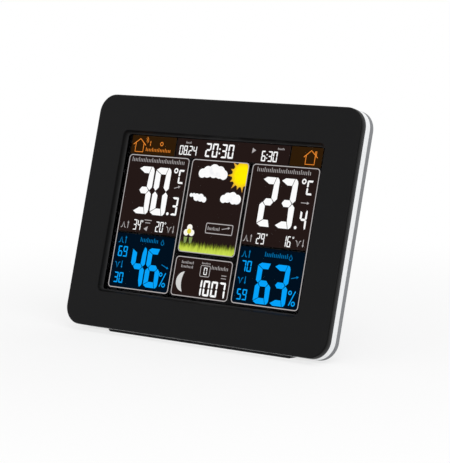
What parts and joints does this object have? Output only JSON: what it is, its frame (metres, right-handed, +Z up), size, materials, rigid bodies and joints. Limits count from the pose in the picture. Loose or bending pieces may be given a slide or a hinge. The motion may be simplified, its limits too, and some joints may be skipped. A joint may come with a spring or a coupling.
{
  "type": "home weather station",
  "caption": "Table-top weather station with a framed colour display that leans back on a foot bar and a fold-out stand, with rear keys, a battery bay and a DC inlet.",
  "frame": {"origin": "middle of the footprint, on the table", "axes": "+X to the right as seen from the front, +Y to the back, +Z up"},
  "size_m": [0.188, 0.0608, 0.1366],
  "materials": {
    "housing_black": "fine satin grain, black",
    "window_clear": "clear acrylic",
    "display_dark": "dark display glass",
    "diffuser_white": "white, semi-matt",
    "ring_silver": "silver paint, satin",
    "cover_grey": "mid grey, fine texture",
    "rubber_black": "matt black rubber",
    "circuit_green": "green solder mask",
    "chip_black": "black moulded",
    "ribbon_amber": "amber film",
    "brass_disc": "plain",
    "copper_wire": "enamelled copper wire",
    "screw_steel": "zinc plated",
    "cell_shell": "printed jacket, unmarked",
    "nickel_contact": "nickel plated",
    "key_black": "black, fine texture"
  },
  "bodies": {
    "housing": {"antenna_coil": "copper_wire", "antenna_rod": "chip_black", "battery_1": "cell_shell", "battery_2": "cell_shell", "battery_3": "cell_shell", "battery_spring_1": "nickel_contact", "battery_spring_2": "nickel_contact", "battery_spring_3": "nickel_contact", "board_screws": "screw_steel", "buzzer": "brass_disc", "case_screws": "screw_steel", "contact_plate_1": "nickel_contact", "contact_plate_2": "nickel_contact", "contact_plate_3": "nickel_contact", "controller_chip": "chip_black", "dc_inlet": "chip_black", "diffuser_sheet": "diffuser_white", "display_carrier": "diffuser_white", "display_ribbon": "ribbon_amber", "display_window": "window_clear", "foot_bar": "rubber_black", "front_bezel": "housing_black", "inlet_pin": "nickel_contact", "lcd_glass": "display_dark", "led_strip": "circuit_green", "light_guide": "diffuser_white", "main_board": "circuit_green", "radio_module": "circuit_green", "rear_cover": "cover_grey", "room_sensor": "chip_black", "sensor_board": "circuit_green", "switch_alarm": "chip_black", "switch_channel": "chip_black", "switch_down": "chip_black", "switch_light": "chip_black", "switch_memory": "chip_black", "switch_mode": "chip_black", "switch_up": "chip_black", "trim_ring": "ring_silver"},
    "stand_leg": {"stand": "cover_grey", "stand_pad": "rubber_black"},
    "door": {"battery_door": "cover_grey"},
    "press_mode": {"key_mode": "key_black", "stem_mode": "key_black"},
    "press_alarm": {"key_alarm": "key_black", "stem_alarm": "key_black"},
    "press_up": {"key_up": "key_black", "stem_up": "key_black"},
    "press_down": {"key_down": "key_black", "stem_down": "key_black"},
    "press_memory": {"key_memory": "key_black", "stem_memory": "key_black"},
    "press_channel": {"key_channel": "key_black", "stem_channel": "key_black"},
    "press_light": {"light_bar": "key_black", "stem_light": "key_black"}
  },
  "joints": [
    {"name": "stand_fold", "type": "hinge", "parent": "housing", "child": "stand_leg", "pos_m": [0, 0.01104, 0.06075], "axis": [1, 0, 0], "range_deg": [-28.2, 0]},
    {"name": "battery_door_pull", "type": "slide", "parent": "housing", "child": "door", "axis": [0, 0.9641, -0.2656], "range_m": [0, 0.025]},
    {"name": "mode_press", "type": "slide", "parent": "housing", "child": "press_mode", "axis": [0, -0.9641, 0.2656], "range_m": [0, 0.0006], "stiffness_N_per_m": 2500},
    {"name": "alarm_press", "type": "slide", "parent": "housing", "child": "press_alarm", "axis": [0, -0.9641, 0.2656], "range_m": [0, 0.0006], "stiffness_N_per_m": 2500},
    {"name": "up_press", "type": "slide", "parent": "housing", "child": "press_up", "axis": [0, -0.9641, 0.2656], "range_m": [0, 0.0006], "stiffness_N_per_m": 2500},
    {"name": "down_press", "type": "slide", "parent": "housing", "child": "press_down", "axis": [0, -0.9641, 0.2656], "range_m": [0, 0.0006], "stiffness_N_per_m": 2500},
    {"name": "memory_press", "type": "slide", "parent": "housing", "child": "press_memory", "axis": [0, -0.9641, 0.2656], "range_m": [0, 0.0006], "stiffness_N_per_m": 2500},
    {"name": "channel_press", "type": "slide", "parent": "housing", "child": "press_channel", "axis": [0, -0.9641, 0.2656], "range_m": [0, 0.0006], "stiffness_N_per_m": 2500},
    {"name": "light_press", "type": "slide", "parent": "housing", "child": "press_light", "axis": [0, -0.9641, 0.2656], "range_m": [0, 0.0006], "stiffness_N_per_m": 2500}
  ]
}
